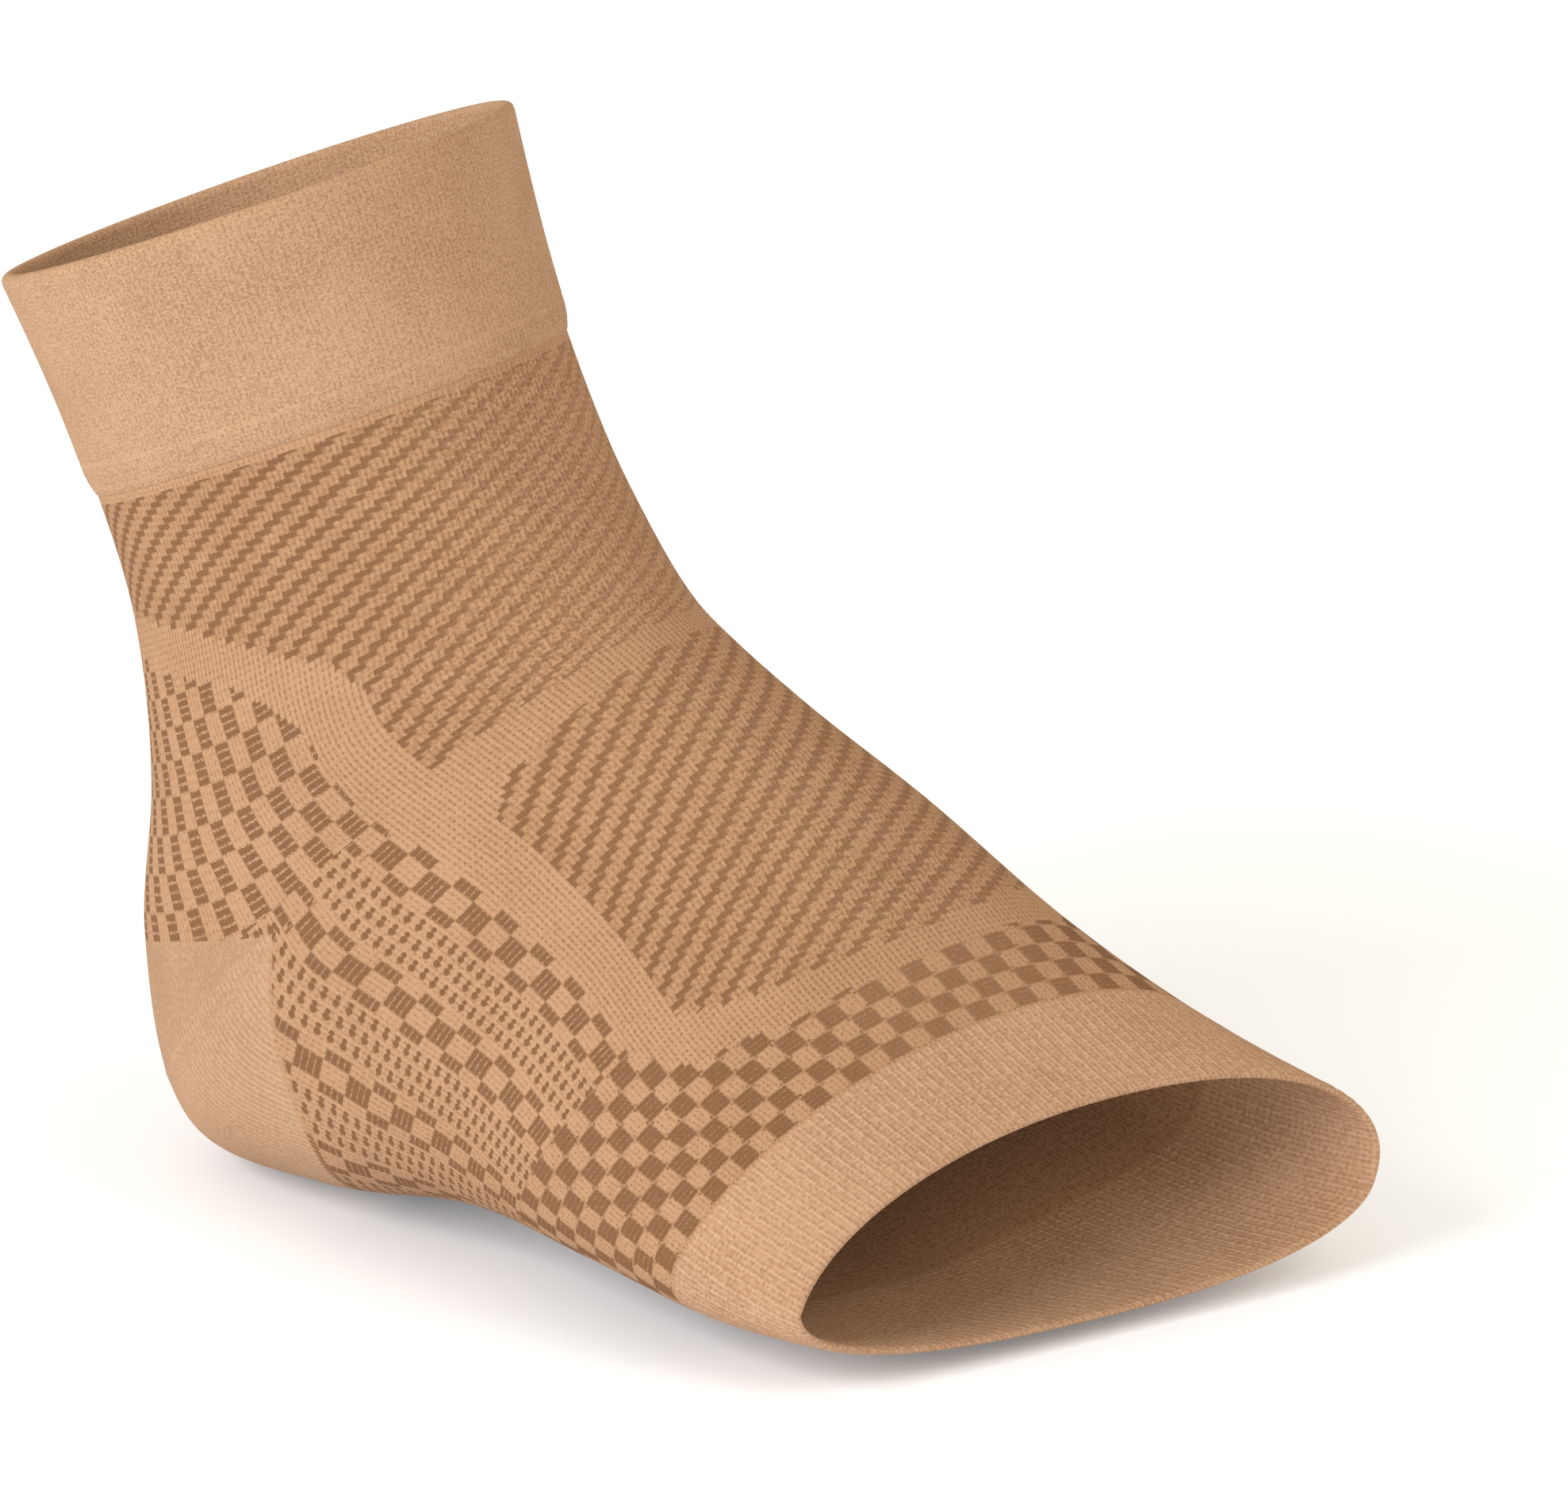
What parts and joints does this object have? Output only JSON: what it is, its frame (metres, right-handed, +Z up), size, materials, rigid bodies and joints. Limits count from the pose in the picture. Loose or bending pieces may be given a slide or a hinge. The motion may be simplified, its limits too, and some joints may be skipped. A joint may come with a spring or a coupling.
{
  "type": "foot compression sleeve",
  "caption": "Knitted open-toe compression sleeve for a right foot: doubled ankle cuff, patterned tube over ankle and arch, plain heel pocket and ribbed toe band.",
  "frame": {"origin": "inside face of the sole under the ankle, where the foot stands in the sleeve", "axes": "+X towards the toes, -Y towards the outer side of the foot, +Z up"},
  "size_m": [0.2033, 0.0966, 0.1641],
  "materials": {
    "cuff_knit": "matt fine plain knit, tan, doubled",
    "body_knit": "matt knit, tan with darker tan stripes, checks and dots",
    "heel_knit": "matt smooth plain knit, light tan",
    "toe_rib": "matt ribbed knit, light tan"
  },
  "bodies": {
    "root": {"ankle_cuff": "cuff_knit", "sleeve_body": "body_knit", "heel_pocket": "heel_knit", "toe_band": "toe_rib"}
  },
  "joints": []
}
